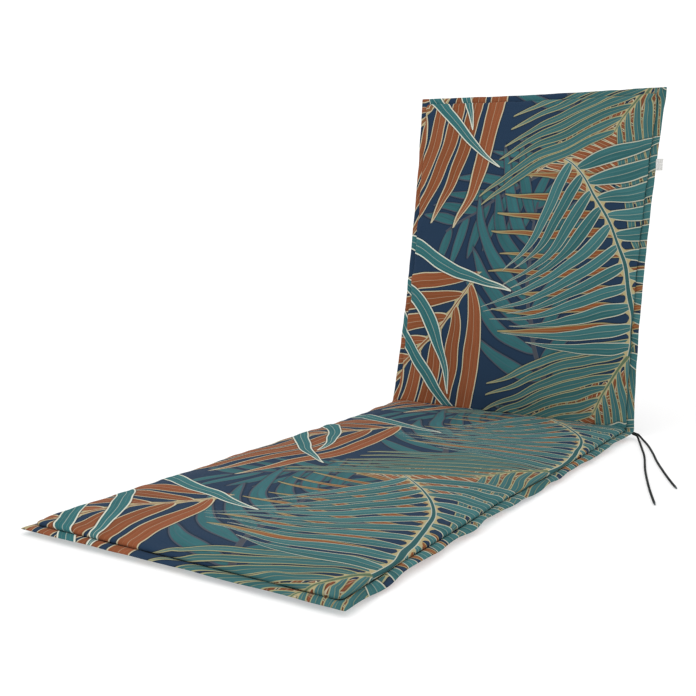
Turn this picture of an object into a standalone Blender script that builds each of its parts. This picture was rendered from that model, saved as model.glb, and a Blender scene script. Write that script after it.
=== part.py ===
"""A sun lounger cushion: one sewn cover with a filled seat section and a filled back section.

Metres, +Z up. X runs across the cushion, and +Y runs from its foot end towards its head end.
The seat section lies on the floor, and the back section is folded up from it. The origin is on
the floor, midway between the foot end and the top of the back, in the cushion's middle plane.
"""

import math

import bmesh
import bpy
from mathutils import Vector

# The cover
WIDTH = 0.600
SEAT_LENGTH = 1.150  # from the foot end to the corner between the two sections
BACK_LENGTH = 0.750
BACK_LEAN = math.radians(10.3)  # backwards from upright
FLANGE_WIDTH = 0.018  # the flat double edge outside the seam
FLANGE_THICK = 0.0044
SEAM_THICK = 0.0016  # the cloth pressed together under the stitching
CORNER_ROUND = 0.014
END_DRAWN_IN = 0.003  # of the foot and head ends, at the middle of the width

# The filling, measured from the plane of the seam
SEAT_UNDER = 0.0120  # down to the floor, on which the underside is flat
LOFT_AT_EDGE = 0.0085
LOFT_IN_MIDDLE = 0.0090  # more than at the edge
REAR_LOFT_AT_EDGE = 0.0080
REAR_LOFT_IN_MIDDLE = 0.0060
EDGE_ROUND = 0.022  # how far in from the seam the filling reaches its height
PAD_CORNER_ROUND = 0.020

# The fold between the two sections, where the cover is sewn through
FOLD_RADIUS = 0.010
FOLD_LINE_HALF = 0.0025
FOLD_TURN = math.pi / 2 - BACK_LEAN
FOLD_TANGENT = FOLD_RADIUS * math.tan(FOLD_TURN / 2)
FOLD_START = SEAT_LENGTH - FOLD_TANGENT
FOLD_END = FOLD_START + FOLD_RADIUS * FOLD_TURN
FOLD_MIDDLE = (FOLD_START + FOLD_END) / 2
LENGTH = FOLD_END + BACK_LENGTH - FOLD_TANGENT
CORNER_Y = (SEAT_LENGTH - BACK_LENGTH * math.sin(BACK_LEAN)) / 2

# The unevenness of the two long sides, in millimetres, by the place along the cover: how far the
# edge is drawn in, how far the flange lifts at its edge, and how much the filling swells there
SIDE_COLUMNS = ("along", "in_left", "in_right", "lift_left", "lift_right", "swell_left", "swell_right")
SIDE_TABLE = (
    (0, 0.0, 0.0, -3.0, -3.0, 0.0, 0.0),
    (90, 2.5, 3.0, -2.5, -3.5, 2.0, 0.8),
    (190, 4.5, 6.0, -3.5, -2.5, 0.3, -0.6),
    (290, 6.0, 5.2, -2.5, -3.0, 1.4, 0.7),
    (410, 7.0, 6.2, -3.5, -2.0, -1.2, 0.0),
    (510, 6.0, 9.5, -3.0, -3.0, 1.3, -0.9),
    (610, 6.5, 6.0, -3.5, -3.5, -1.2, 0.8),
    (730, 5.5, 2.7, -2.5, -2.0, 0.2, 0.4),
    (850, 7.0, 3.2, -3.5, -3.0, -3.0, -0.7),
    (960, 6.0, 1.8, -3.0, -2.5, -2.2, 0.5),
    (1070, 3.0, 2.2, -2.5, -2.0, 0.5, 0.3),
    (1149, 0.0, 0.0, 0.0, 0.0, 0.0, 0.0),
    (1220, 3.5, 5.0, 1.5, -1.0, -0.6, 0.4),
    (1300, 6.0, 7.5, 0.0, 1.0, 0.5, -0.8),
    (1390, 8.5, 10.0, -1.0, 0.5, -0.5, 0.6),
    (1480, 9.7, 11.0, 0.5, -1.0, 0.8, 0.0),
    (1560, 9.5, 10.5, 1.0, 0.5, -0.7, -0.7),
    (1640, 8.5, 9.5, 0.0, 1.0, 0.4, 0.6),
    (1730, 6.8, 7.0, -1.0, 0.0, -0.5, -0.4),
    (1810, 4.0, 4.5, 0.5, -0.5, 0.4, 0.3),
    (1900, 0.0, 0.0, 0.0, 0.0, 0.0, 0.0),
)

# The lines of the mesh: how far in they lie from an edge of the cover, and from the fold
EDGE_LINES = (0, 0.003, 0.009, 0.015, 0.018, 0.020, 0.024, 0.030, 0.040, 0.056)
INNER_COLUMNS = 4  # on each side of the middle
INNER_ROW_PITCH = 0.046
FOLD_LINES = (0.0025, 0.0045, 0.0070, 0.0110, 0.0165, 0.0245, 0.040)

# The blank label, a strip folded double and sewn into the flange
LABEL_OUT = 0.0105
LABEL_TALL = 0.025
LABEL_THICK = 0.0014
LABEL_FOLD_BEVEL = 0.0005
LABEL_BELOW_TOP = 0.169  # of its middle

# The ties, two cords sewn into the flange beside the fold, each as the places on its route:
# across, along the floor, and the height of the cord's middle
TIE_DIAMETER = 0.0045
TIE_POINT_STEP = 0.0125
TOUCHING_GAP = 0.0003
TIE_ROUTES = {
    "tie_rear": (
        (0.3009, 0.5035, 0.0125), (0.3090, 0.5028, 0.0115), (0.3172, 0.4970, 0.0085),
        (0.3262, 0.4868, 0.0045), (0.3363, 0.4732, 0.0027), (0.3534, 0.4409, 0.0024),
        (0.3686, 0.4087, 0.0023), (0.3827, 0.3772, 0.0023), (0.3981, 0.3407, 0.0023),
        (0.4151, 0.3034, 0.0023), (0.4298, 0.2731, 0.0023), (0.4441, 0.2437, 0.0023),
        (0.4571, 0.2179, 0.0023), (0.4724, 0.1885, 0.0023), (0.4891, 0.1583, 0.0023),
    ),
    "tie_front": (
        (0.3011, 0.4965, 0.0118), (0.3090, 0.4952, 0.0108), (0.3152, 0.4885, 0.0082),
        (0.3212, 0.4765, 0.0048), (0.3290, 0.4599, 0.0027), (0.3463, 0.4170, 0.0024),
        (0.3630, 0.3754, 0.0023), (0.3756, 0.3402, 0.0023), (0.3885, 0.2998, 0.0023),
        (0.4008, 0.2609, 0.0023), (0.4154, 0.2189, 0.0023), (0.4300, 0.1790, 0.0023),
        (0.4461, 0.1363, 0.0023), (0.4603, 0.1003, 0.0023), (0.4727, 0.0701, 0.0023),
        (0.4856, 0.0391, 0.0023),
    ),
}

COLOURS = {
    "printed_cover": (0.060, 0.160, 0.190, 1.0),
    "label_tape": (0.780, 0.780, 0.760, 1.0),
    "tie_cord": (0.012, 0.026, 0.028, 1.0),
}


def add_material(thing, name, roughness):
    """Give an object its material."""
    material = bpy.data.materials.get(name) or bpy.data.materials.new(name)
    material.use_nodes = True
    shader = material.node_tree.nodes["Principled BSDF"]
    shader.inputs["Base Color"].default_value = COLOURS[name]
    shader.inputs["Roughness"].default_value = roughness
    shader.inputs["Metallic"].default_value = 0.0
    thing.data.materials.append(material)


def side_value(name, across, along):
    """A column of the side table at a place, from the left or the right side, in metres."""
    column = SIDE_COLUMNS.index(name + ("_left" if across < 0 else "_right"))
    place = along * 1000
    for before, after in zip(SIDE_TABLE, SIDE_TABLE[1:]):
        if place <= after[0]:
            part = (place - before[0]) / (after[0] - before[0])
            ease = part * part * (3 - 2 * part)
            return (before[column] + (after[column] - before[column]) * ease) / 1000
    return SIDE_TABLE[-1][column] / 1000


def rounded_depth(across, along, edge, start, end, radius):
    """How far a place lies inside a rectangle with rounded corners. It is negative outside."""
    side = edge - abs(across)
    tip = min(along - start, end - along)
    if side < radius and tip < radius:
        return radius - math.hypot(radius - side, radius - tip)
    return min(side, tip)


def on_back(along):
    """Whether a place belongs to the back section."""
    return along > FOLD_MIDDLE


def section_ends(along):
    """The seams at the two ends of the section that a place belongs to."""
    if on_back(along):
        return FOLD_MIDDLE + FOLD_LINE_HALF, LENGTH - FLANGE_WIDTH
    return FLANGE_WIDTH, FOLD_MIDDLE - FOLD_LINE_HALF


def swell(depth):
    """The rounded rise of the filling from its seam, from 0 to 1."""
    part = min(max(depth / EDGE_ROUND, 0), 1)
    return math.sqrt(1 - (1 - part) ** 2)


def heights(across, along):
    """The upper and lower face of the cover at a place, measured from the plane of the seam."""
    start, end = section_ends(along)
    seam = WIDTH / 2 - FLANGE_WIDTH
    depth = rounded_depth(across, along, seam, start, end, PAD_CORNER_ROUND)
    rise = swell(depth)
    middle = (1 - (across / seam) ** 2) * (1 - ((2 * along - start - end) / (end - start)) ** 4)
    middle = max(middle, 0)
    uneven = side_value("swell", across, along) * abs(across) / seam
    inset = min(WIDTH / 2 - abs(across), along, LENGTH - along)
    out = min(max(1 - inset / FLANGE_WIDTH, 0), 1)
    half = (SEAM_THICK + (FLANGE_THICK - SEAM_THICK) * math.sin(math.pi * out)) / 2
    lift = side_value("lift", across, along) * out ** 2
    upper = half + lift + rise * (LOFT_AT_EDGE + LOFT_IN_MIDDLE * middle + uneven)
    if on_back(along):
        lower = -half + lift - rise * (REAR_LOFT_AT_EDGE + REAR_LOFT_IN_MIDDLE * middle)
    else:
        lower = -half + lift - rise * (SEAT_UNDER - SEAM_THICK / 2)
    return upper, lower


def outline(across, along):
    """A place of the flat cover, moved for its drawn-in edges and its rounded outer corners."""
    edge = WIDTH / 2
    side = abs(across) - (edge - CORNER_ROUND)
    head = along > LENGTH / 2
    tip = (along - LENGTH if head else -along) + CORNER_ROUND
    if side > 0 and tip > 0:
        new_side = side * math.sqrt(1 - (tip / CORNER_ROUND) ** 2 / 2)
        new_tip = tip * math.sqrt(1 - (side / CORNER_ROUND) ** 2 / 2)
        across += (new_side - side) * math.copysign(1, across)
        along += (new_tip - tip) * (1 if head else -1)
    narrowed = across * (1 - side_value("in", across, along) / edge)
    end_pull = END_DRAWN_IN * (1 - (across / edge) ** 2)
    share = (along / LENGTH) ** 8 if head else (1 - along / LENGTH) ** 8
    return narrowed, along - end_pull * share * (1 if head else -1)


def folded(across, along, proud):
    """A place of the cover in its folded pose, proud of the plane of the seam by so much."""
    turn = min(max((along - FOLD_START) / FOLD_RADIUS, 0), FOLD_TURN)
    straight = min(along - FOLD_START, 0) + max(along - FOLD_END, 0)
    reach = FOLD_RADIUS - proud
    y = CORNER_Y - FOLD_TANGENT + reach * math.sin(turn) + straight * math.cos(turn)
    z = SEAT_UNDER + FOLD_RADIUS - reach * math.cos(turn) + straight * math.sin(turn)
    return Vector((across, y, z))


def even_steps(start, end, pitch):
    """The places between two others, without them, at an even pitch near the one asked for."""
    count = max(round((end - start) / pitch), 1)
    return [start + (end - start) * step / count for step in range(1, count)]


def column_places():
    """The columns of the mesh, from the left edge to the right one."""
    left = [line - WIDTH / 2 for line in EDGE_LINES]
    inner = [left[-1] * (1 - step / INNER_COLUMNS) for step in range(1, INNER_COLUMNS)]
    half = left + inner
    return half + [0] + [-place for place in reversed(half)]


def row_places():
    """The rows of the mesh, from the foot end to the head end."""
    foot = list(EDGE_LINES)
    before_fold = [FOLD_MIDDLE - line for line in reversed(FOLD_LINES)]
    after_fold = [FOLD_MIDDLE + line for line in FOLD_LINES]
    head = [LENGTH - line for line in reversed(EDGE_LINES)]
    seat = even_steps(foot[-1], before_fold[0], INNER_ROW_PITCH)
    back = even_steps(after_fold[-1], head[0], INNER_ROW_PITCH)
    return foot + seat + before_fold + [FOLD_MIDDLE] + after_fold + back + head


def build_cushion():
    """The whole cushion as one closed solid: flange, filled sections and the sewn fold."""
    mesh = bmesh.new()
    columns = column_places()
    rows = row_places()
    upper_verts = []
    lower_verts = []
    for along in rows:
        upper_row = []
        lower_row = []
        for across in columns:
            upper, lower = heights(across, along)
            x, place = outline(across, along)
            upper_row.append(mesh.verts.new(folded(x, place, upper)))
            lower_row.append(mesh.verts.new(folded(x, place, lower)))
        upper_verts.append(upper_row)
        lower_verts.append(lower_row)
    for row in range(len(rows) - 1):
        for column in range(len(columns) - 1):
            for sheet, facing_up in ((upper_verts, True), (lower_verts, False)):
                corners = [
                    sheet[row][column], sheet[row][column + 1],
                    sheet[row + 1][column + 1], sheet[row + 1][column],
                ]
                mesh.faces.new(corners if facing_up else list(reversed(corners)))
    open_edges = [edge for edge in mesh.edges if edge.is_boundary]
    bmesh.ops.bridge_loops(mesh, edges=open_edges)
    flat_faces = [face for face in mesh.faces if all(abs(vert.co.z) < 1e-7 for vert in face.verts)]
    bmesh.ops.dissolve_faces(mesh, faces=flat_faces)
    bmesh.ops.recalc_face_normals(mesh, faces=mesh.faces)
    data = bpy.data.meshes.new("cushion")
    mesh.to_mesh(data)
    mesh.free()
    data.shade_smooth()
    data.set_sharp_from_angle(angle=math.radians(50))
    cushion = bpy.data.objects.new("cushion", data)
    bpy.context.collection.objects.link(cushion)
    add_material(cushion, "printed_cover", 0.85)


def build_label():
    """The blank label, standing out from the right edge of the back."""
    middle = LENGTH - LABEL_BELOW_TOP
    ends = (middle - LABEL_TALL / 2, middle, middle + LABEL_TALL / 2)
    edge = max(outline(WIDTH / 2, along)[0] for along in ends)
    lift = side_value("lift", WIDTH / 2, middle)
    start = folded(edge + TOUCHING_GAP, middle, lift)
    mesh = bmesh.new()
    bmesh.ops.create_cube(mesh, size=1)
    bmesh.ops.translate(mesh, verts=mesh.verts, vec=(0.5, 0, 0))
    bmesh.ops.scale(mesh, verts=mesh.verts, vec=(LABEL_OUT, LABEL_TALL, LABEL_THICK))
    outer_edges = [edge for edge in mesh.edges if all(vert.co.x > LABEL_OUT / 2 for vert in edge.verts)]
    long_edges = [edge for edge in outer_edges if edge.calc_length() > LABEL_TALL / 2]
    bmesh.ops.bevel(mesh, geom=long_edges, offset=LABEL_FOLD_BEVEL, segments=2, profile=0.5, affect="EDGES")
    data = bpy.data.meshes.new("label")
    mesh.to_mesh(data)
    mesh.free()
    label = bpy.data.objects.new("label", data)
    bpy.context.collection.objects.link(label)
    label.location = start
    label.rotation_euler = (FOLD_TURN, 0, 0)
    add_material(label, "label_tape", 0.75)


def smooth_route(places, step):
    """Points at an even step along one smooth curve through the places."""
    places = [Vector(place) for place in places]
    knots = [2 * places[0] - places[1]] + places + [2 * places[-1] - places[-2]]
    fine = []
    for before, start, end, after in zip(knots, knots[1:], knots[2:], knots[3:]):
        for index in range(24):
            t = index / 24
            bend = (2 * before - 5 * start + 4 * end - after) * t * t
            twist = (3 * start - before - 3 * end + after) * t ** 3
            fine.append((2 * start + (end - before) * t + bend + twist) / 2)
    fine.append(places[-1])
    lengths = [0]
    for start, end in zip(fine, fine[1:]):
        lengths.append(lengths[-1] + (end - start).length)
    count = round(lengths[-1] / step)
    points = []
    for index in range(count + 1):
        wanted = lengths[-1] * index / count
        place = next(i for i in range(1, len(fine)) if lengths[i] >= wanted - 1e-9)
        part = (wanted - lengths[place - 1]) / (lengths[place] - lengths[place - 1])
        points.append(fine[place - 1].lerp(fine[place], part))
    return points


def build_tie(name):
    """A tie cord, from the flange beside the fold down to the floor and along it."""
    points = smooth_route(TIE_ROUTES[name], TIE_POINT_STEP)
    data = bpy.data.curves.new(name, "CURVE")
    data.dimensions = "3D"
    data.bevel_depth = TIE_DIAMETER / 2
    data.bevel_resolution = 2
    data.use_fill_caps = True
    spline = data.splines.new("POLY")
    spline.points.add(len(points) - 1)
    for point, place in zip(spline.points, points):
        height = max(place.z, TIE_DIAMETER / 2)
        point.co = (place.x, place.y, height, 1)
    tie = bpy.data.objects.new(name, data)
    bpy.context.collection.objects.link(tie)
    add_material(tie, "tie_cord", 0.8)


for leftover in list(bpy.data.objects):
    bpy.data.objects.remove(leftover)
build_cushion()
build_label()
for tie_name in TIE_ROUTES:
    build_tie(tie_name)
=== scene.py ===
import math

import bpy
import numpy as np
from mathutils import Matrix, Vector, noise


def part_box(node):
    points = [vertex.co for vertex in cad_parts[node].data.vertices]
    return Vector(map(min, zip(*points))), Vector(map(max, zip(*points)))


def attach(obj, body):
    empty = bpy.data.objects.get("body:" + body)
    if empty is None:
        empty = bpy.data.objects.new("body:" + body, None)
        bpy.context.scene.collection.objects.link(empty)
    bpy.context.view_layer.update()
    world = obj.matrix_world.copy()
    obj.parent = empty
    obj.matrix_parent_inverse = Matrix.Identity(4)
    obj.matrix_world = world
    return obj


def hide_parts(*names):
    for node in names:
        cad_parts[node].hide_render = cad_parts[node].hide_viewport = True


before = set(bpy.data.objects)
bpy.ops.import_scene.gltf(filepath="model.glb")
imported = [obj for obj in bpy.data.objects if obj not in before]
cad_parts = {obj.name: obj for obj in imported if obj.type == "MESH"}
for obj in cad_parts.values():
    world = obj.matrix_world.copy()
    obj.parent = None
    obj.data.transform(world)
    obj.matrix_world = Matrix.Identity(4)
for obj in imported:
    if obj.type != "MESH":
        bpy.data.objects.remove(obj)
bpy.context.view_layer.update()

# The camera stands to the right of the foot end at about chest height, and looks along the seat
# towards the back. Its place was solved from the corners of the two sections.
CAMERA_PLACE = (0.9764, -1.6953, 0.5305)
CAMERA_TURN = (81.43, -0.053, 32.585)
CAMERA_LENS = 54.51

camera_data = bpy.data.cameras.new("camera")
camera_data.sensor_width = 36
camera_data.lens = CAMERA_LENS
camera = bpy.data.objects.new("camera", camera_data)
camera.location = CAMERA_PLACE
camera.rotation_euler = [math.radians(angle) for angle in CAMERA_TURN]
bpy.context.collection.objects.link(camera)
bpy.context.scene.camera = camera

# The two ties are round braided polyester cords in a dark green black, sewn into the edge at the
# fold. They drop to the floor and lie there limply. Each end is heat cut: thinner, and greyed.
TIE_DIAMETER = 0.0045
TIE_STEP = 0.0125  # between the points of its middle line
ROUTE_PARTS = 24  # of each stretch of the smooth curve that those points are taken from
TIE_HEAT_CUT = 0.014  # the length of the thin grey end
TIE_CUT_THICK = 0.5  # of the cord, at the cut
TIE_ROUTES = {
    "tie_rear": (
        (0.3009, 0.5035, 0.0125), (0.3090, 0.5028, 0.0115), (0.3172, 0.4970, 0.0085),
        (0.3262, 0.4868, 0.0045), (0.3363, 0.4732, 0.0027), (0.3534, 0.4409, 0.0024),
        (0.3686, 0.4087, 0.0023), (0.3827, 0.3772, 0.0023), (0.3981, 0.3407, 0.0023),
        (0.4151, 0.3034, 0.0023), (0.4298, 0.2731, 0.0023), (0.4441, 0.2437, 0.0023),
        (0.4571, 0.2179, 0.0023), (0.4724, 0.1885, 0.0023), (0.4891, 0.1583, 0.0023),
    ),
    "tie_front": (
        (0.3011, 0.4965, 0.0118), (0.3090, 0.4952, 0.0108), (0.3152, 0.4885, 0.0082),
        (0.3212, 0.4765, 0.0048), (0.3290, 0.4599, 0.0027), (0.3463, 0.4170, 0.0024),
        (0.3630, 0.3754, 0.0023), (0.3756, 0.3402, 0.0023), (0.3885, 0.2998, 0.0023),
        (0.4008, 0.2609, 0.0023), (0.4154, 0.2189, 0.0023), (0.4300, 0.1790, 0.0023),
        (0.4461, 0.1363, 0.0023), (0.4603, 0.1003, 0.0023), (0.4727, 0.0701, 0.0023),
        (0.4856, 0.0391, 0.0023),
    ),
}


def linear(code):
    """A colour given as an sRGB hex code, in linear light."""
    parts = [int(code[place:place + 2], 16) / 255 for place in (1, 3, 5)]
    lit = [part / 12.92 if part <= 0.04045 else ((part + 0.055) / 1.055) ** 2.4 for part in parts]
    return (*lit, 1.0)


def add_node(tree, kind, settings, inputs):
    """Add a node with its settings, and with a value or a link for each input that is named."""
    node = tree.nodes.new(kind)
    for name, value in settings.items():
        setattr(node, name, value)
    for name, value in inputs.items():
        if isinstance(value, bpy.types.NodeSocket):
            tree.links.new(value, node.inputs[name])
        else:
            node.inputs[name].default_value = value
    return node


def add_steps(tree, values, steps, kind="ShaderNodeMath"):
    """Add a node for each step, which gives a name, an operation, and numbers or earlier names."""
    for name, operation, *terms in steps:
        inputs = {place: values.get(term, term) for place, term in enumerate(terms)}
        values[name] = add_node(tree, kind, {"operation": operation}, inputs).outputs[0]


def new_material(name):
    """A material, and its node tree without nodes."""
    material = bpy.data.materials.new(name)
    material.use_nodes = True
    material.node_tree.nodes.clear()
    return material, material.node_tree


def end_material(tree, surface):
    """End a material with a surface that has these inputs."""
    shader = add_node(tree, "ShaderNodeBsdfPrincipled", {}, surface)
    add_node(tree, "ShaderNodeOutputMaterial", {}, {0: shader.outputs[0]})


def pick(*things):
    """Select these objects alone, and make the last of them the active one."""
    bpy.ops.object.select_all(action="DESELECT")
    for thing in things:
        thing.select_set(True)
    bpy.context.view_layer.objects.active = things[-1]


def give_points(data, name, numbers):
    """Give a mesh a value for each of its points under this name."""
    data.attributes.new(name, "FLOAT", "POINT").data.foreach_set("value", numbers)


def smooth_route(places, step):
    """Points at an even step along one smooth curve through the places."""
    places = [Vector(place) for place in places]
    knots = [2 * places[0] - places[1]] + places + [2 * places[-1] - places[-2]]
    fine = []
    for before, start, end, after in zip(knots, knots[1:], knots[2:], knots[3:]):
        for index in range(ROUTE_PARTS):
            t = index / ROUTE_PARTS
            bend = (2 * before - 5 * start + 4 * end - after) * t * t
            twist = (3 * start - before - 3 * end + after) * t ** 3
            fine.append((2 * start + (end - before) * t + bend + twist) / 2)
    fine.append(places[-1])
    lengths = [0]
    for start, end in zip(fine, fine[1:]):
        lengths.append(lengths[-1] + (end - start).length)
    count = round(lengths[-1] / step)
    places_on = np.linspace(0, lengths[-1], count + 1)
    columns = [np.interp(places_on, lengths, [point[axis] for point in fine]) for axis in range(3)]
    return [Vector(point) for point in zip(*columns)]


# Braided polyester: eight flat bundles of fine yarn cross each other in a low zigzag with a soft
# silky gleam. The real bundles are about 1.2 mm wide.
braid, tree = new_material("braided_polyester_cord")
BRAID_LENGTH = 0.0036  # of one bundle's turn along the cord
BUNDLES_EACH_WAY = 4
cloth_place = add_node(tree, "ShaderNodeUVMap", {"uv_map": "cord"}, {})
parts = add_node(tree, "ShaderNodeSeparateXYZ", {}, {0: cloth_place.outputs[0]})
values = {"along": parts.outputs[0], "around": parts.outputs[1]}
add_steps(tree, values, (
    ("turns", "DIVIDE", "along", BRAID_LENGTH),
    ("right_hand", "MULTIPLY_ADD", "around", BUNDLES_EACH_WAY, "turns"),
    ("left_hand", "MULTIPLY_ADD", "around", -BUNDLES_EACH_WAY, "turns"),
    ("right_wave", "PINGPONG", "right_hand", 0.5),
    ("left_wave", "PINGPONG", "left_hand", 0.5),
    ("crossing", "MULTIPLY", "right_wave", "left_wave"),
    ("raised", "MULTIPLY", "crossing", 4),
))
to_end = add_node(tree, "ShaderNodeAttribute", {"attribute_name": "to_end"}, {}).outputs["Fac"]
greyed = add_node(tree, "ShaderNodeMapRange", {}, {0: to_end, 1: TIE_HEAT_CUT, 2: 0.0})
yarn = add_node(tree, "ShaderNodeMix", {"data_type": "RGBA"}, {
    0: values["raised"], 6: linear("#030808"), 7: linear("#0E1817"),
})
worn = add_node(tree, "ShaderNodeMix", {"data_type": "RGBA"}, {
    0: greyed.outputs[0], 6: yarn.outputs[2], 7: linear("#4A5256"),
})
bump = add_node(tree, "ShaderNodeBump", {}, {"Height": values["raised"], "Distance": 0.0004})
end_material(tree, {
    "Base Color": worn.outputs[2], "Roughness": 0.6, "IOR": 1.5, "Specular IOR Level": 0.12,
    "Sheen Weight": 0.03, "Normal": bump.outputs[0],
})

for name, route in TIE_ROUTES.items():
    points = smooth_route(route, TIE_STEP)
    for point in points:
        point.z = max(point.z, TIE_DIAMETER / 2)
    length = sum((end - start).length for start, end in zip(points, points[1:]))
    data = bpy.data.curves.new(name, "CURVE")
    data.dimensions = "3D"
    data.bevel_depth = TIE_DIAMETER / 2
    data.bevel_resolution = 4
    data.use_fill_caps = True
    spline = data.splines.new("POLY")
    spline.points.add(len(points) - 1)
    for index, point in enumerate(points):
        spline.points[index].co = (*point, 1)
    spline.points[-1].radius = TIE_CUT_THICK
    tie = bpy.data.objects.new(name + "_cord", data)
    bpy.context.collection.objects.link(tie)
    pick(tie)
    bpy.ops.object.convert(target="MESH")
    tie = bpy.context.view_layer.objects.active
    # the braid's own coordinates: how far along the cord, and how far round it
    route_line = np.array(points)
    on_route = np.concatenate([[0], np.cumsum(np.linalg.norm(np.diff(route_line, axis=0), axis=1))])
    spots = np.array([vert.co for vert in tie.data.vertices])
    nearest = np.argmin(np.linalg.norm(spots[:, None] - route_line[None], axis=2), axis=1)
    travelled = on_route[nearest]
    side = spots - route_line[nearest]
    around = np.arctan2(side[:, 2], np.hypot(side[:, 0], side[:, 1]) * np.sign(side[:, 0])) / math.tau
    layer = tie.data.uv_layers.new(name="cord")
    corner_verts = np.zeros(len(tie.data.loops), int)
    tie.data.loops.foreach_get("vertex_index", corner_verts)
    layer.data.foreach_set("uv", np.stack([travelled, around], 1)[corner_verts].ravel())
    give_points(tie.data, "to_end", (length - travelled).astype(np.float32))
    tie.data.materials.append(braid)
    tie.data.shade_smooth()
    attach(tie, "root")
    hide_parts(name)

# The cushion is one printed cotton and polyester cover, filled with a thin foam core in the seat
# and another in the back. A flat double edge runs all round outside the seam, and the cover is
# sewn through at the fold between the two sections.
WIDTH = 0.600
FLANGE_WIDTH = 0.018
FLANGE_THICK = 0.0044
SEAM_THICK = 0.0012
CORNER_ROUND = 0.003
PAD_CORNER_ROUND = 0.010
CORNER_FADE = 0.040  # how far inside the seam the pads' corners stay round
END_DRAWN_IN = 0.003  # of the foot and head ends, at the middle of the width
END_PULL_POWER = 8  # how fast that pull dies out along the cover
SEAT_UNDER = 0.0120  # from the seam's plane down to the floor
LOFT_AT_EDGE = 0.0102  # of the filling, above the seam's plane
LOFT_IN_MIDDLE = 0.0073  # more than at the edge
REAR_LOFT_AT_EDGE = 0.0080
REAR_LOFT_IN_MIDDLE = 0.0060
# The pads' edges bulge out over the seam, which lies in a tight crease
BULGE_START = math.radians(38)  # from the seam's plane, where the cloth leaves the seam
BULGE_ROUND = 0.0080
TOP_ROUND = 0.0125
EDGE_ROUND = TOP_ROUND - BULGE_ROUND * (1 - math.sin(BULGE_START))
EDGE_TAKES_UP = 0.012  # the cloth that each such edge takes up, over what it spans
FOLD_RADIUS = 0.010
FOLD_LINE_HALF = 0.0025
FOLD_TURN = math.radians(79.7)
SEAT_LENGTH = 1.150
BACK_LENGTH = 0.750
FOLD_TANGENT = FOLD_RADIUS * math.tan(FOLD_TURN / 2)
FOLD_START = SEAT_LENGTH - FOLD_TANGENT
FOLD_END = FOLD_START + FOLD_RADIUS * FOLD_TURN
FOLD_MIDDLE = (FOLD_START + FOLD_END) / 2
LENGTH = FOLD_END + BACK_LENGTH - FOLD_TANGENT
CORNER_Y = (SEAT_LENGTH - BACK_LENGTH * math.cos(FOLD_TURN)) / 2
OUTER_ZONE = LENGTH / 8  # corners nearer an end than this are outer ones

# The two long sides aren't quite even: how far they are drawn in, how far the flat edge lifts and
# how much the filling swells beside it, in millimetres, on the left and on the right
SIDE_TABLE = np.array((
    (0, 0.0, 0.0, -3.0, -3.0, 0.0, 0.0),
    (90, 2.5, 3.0, -2.5, -3.5, 2.0, 0.8),
    (190, 4.5, 6.0, -3.5, -2.5, 0.3, -0.6),
    (290, 6.0, 5.2, -2.5, -3.0, 1.4, 0.7),
    (410, 7.0, 6.2, -3.5, -2.0, -1.2, 0.0),
    (510, 6.0, 9.5, -3.0, -3.0, 1.3, -0.9),
    (610, 6.5, 6.0, -3.5, -3.5, -1.2, 0.8),
    (730, 5.5, 2.7, -2.5, -2.0, 0.2, 0.4),
    (850, 7.0, 3.2, -3.5, -3.0, -3.0, -0.7),
    (960, 6.0, 1.8, -3.0, -2.5, -2.2, 0.5),
    (1070, 3.0, 2.2, -2.5, -2.0, 0.5, 0.3),
    (1149, 0.0, 0.0, 0.0, 0.0, 0.0, 0.0),
    (1220, 3.5, 5.0, 1.5, -1.0, -0.6, 0.4),
    (1300, 6.0, 7.5, 0.0, 1.0, 0.5, -0.8),
    (1390, 8.5, 10.0, -1.0, 0.5, -0.5, 0.6),
    (1480, 9.7, 11.0, 0.5, -1.0, 0.8, 0.0),
    (1560, 9.5, 10.5, 1.0, 0.5, -0.7, -0.7),
    (1640, 8.5, 9.5, 0.0, 1.0, 0.4, 0.6),
    (1730, 6.8, 7.0, -1.0, 0.0, -0.5, -0.4),
    (1810, 4.0, 4.5, 0.5, -0.5, 0.4, 0.3),
    (1900, 0.0, 0.0, 0.0, 0.0, 0.0, 0.0),
)) / 1000
SIDE_DRAWN_IN, SIDE_LIFT, SIDE_SWELL = 1, 3, 5

# The lines of the mesh: how far in they lie from an edge, and from the fold
BULGE_PARTS = (0.15, 0.31, 0.48, 0.65, 0.82, 1.0)
EDGE_LINES = (0, 0.0012, 0.0045, 0.0100, 0.0145, 0.0168, FLANGE_WIDTH)
EDGE_LINES += tuple(FLANGE_WIDTH + EDGE_ROUND * part for part in BULGE_PARTS)
EDGE_LINES += (0.0335, 0.0410, 0.0510)
FOLD_LINES = (0.0012, FOLD_LINE_HALF)
FOLD_LINES += tuple(FOLD_LINE_HALF + EDGE_ROUND * part for part in BULGE_PARTS)
FOLD_LINES += (0.0180, 0.0260, 0.0360)
INNER_COLUMN_PITCH = 0.0160
INNER_ROW_PITCH = 0.0135


def side_value(column, across, along):
    """A column of the side table at a place, from the left or the right side."""
    column += 0 if across < 0 else 1
    row = min(max(int(np.searchsorted(SIDE_TABLE[:, 0], along)), 1), len(SIDE_TABLE) - 1)
    before, after = SIDE_TABLE[row - 1], SIDE_TABLE[row]
    part = min(max((along - before[0]) / (after[0] - before[0]), 0), 1)
    return before[column] + (after[column] - before[column]) * part * part * (3 - 2 * part)


def inside_seams(across, along):
    """How far inside the side seam and the nearer cross seam of its section a place lies."""
    start, end = FLANGE_WIDTH, FOLD_MIDDLE - FOLD_LINE_HALF
    if along > FOLD_MIDDLE:
        start, end = FOLD_MIDDLE + FOLD_LINE_HALF, LENGTH - FLANGE_WIDTH
    return WIDTH / 2 - FLANGE_WIDTH - abs(across), min(along - start, end - along)


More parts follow.
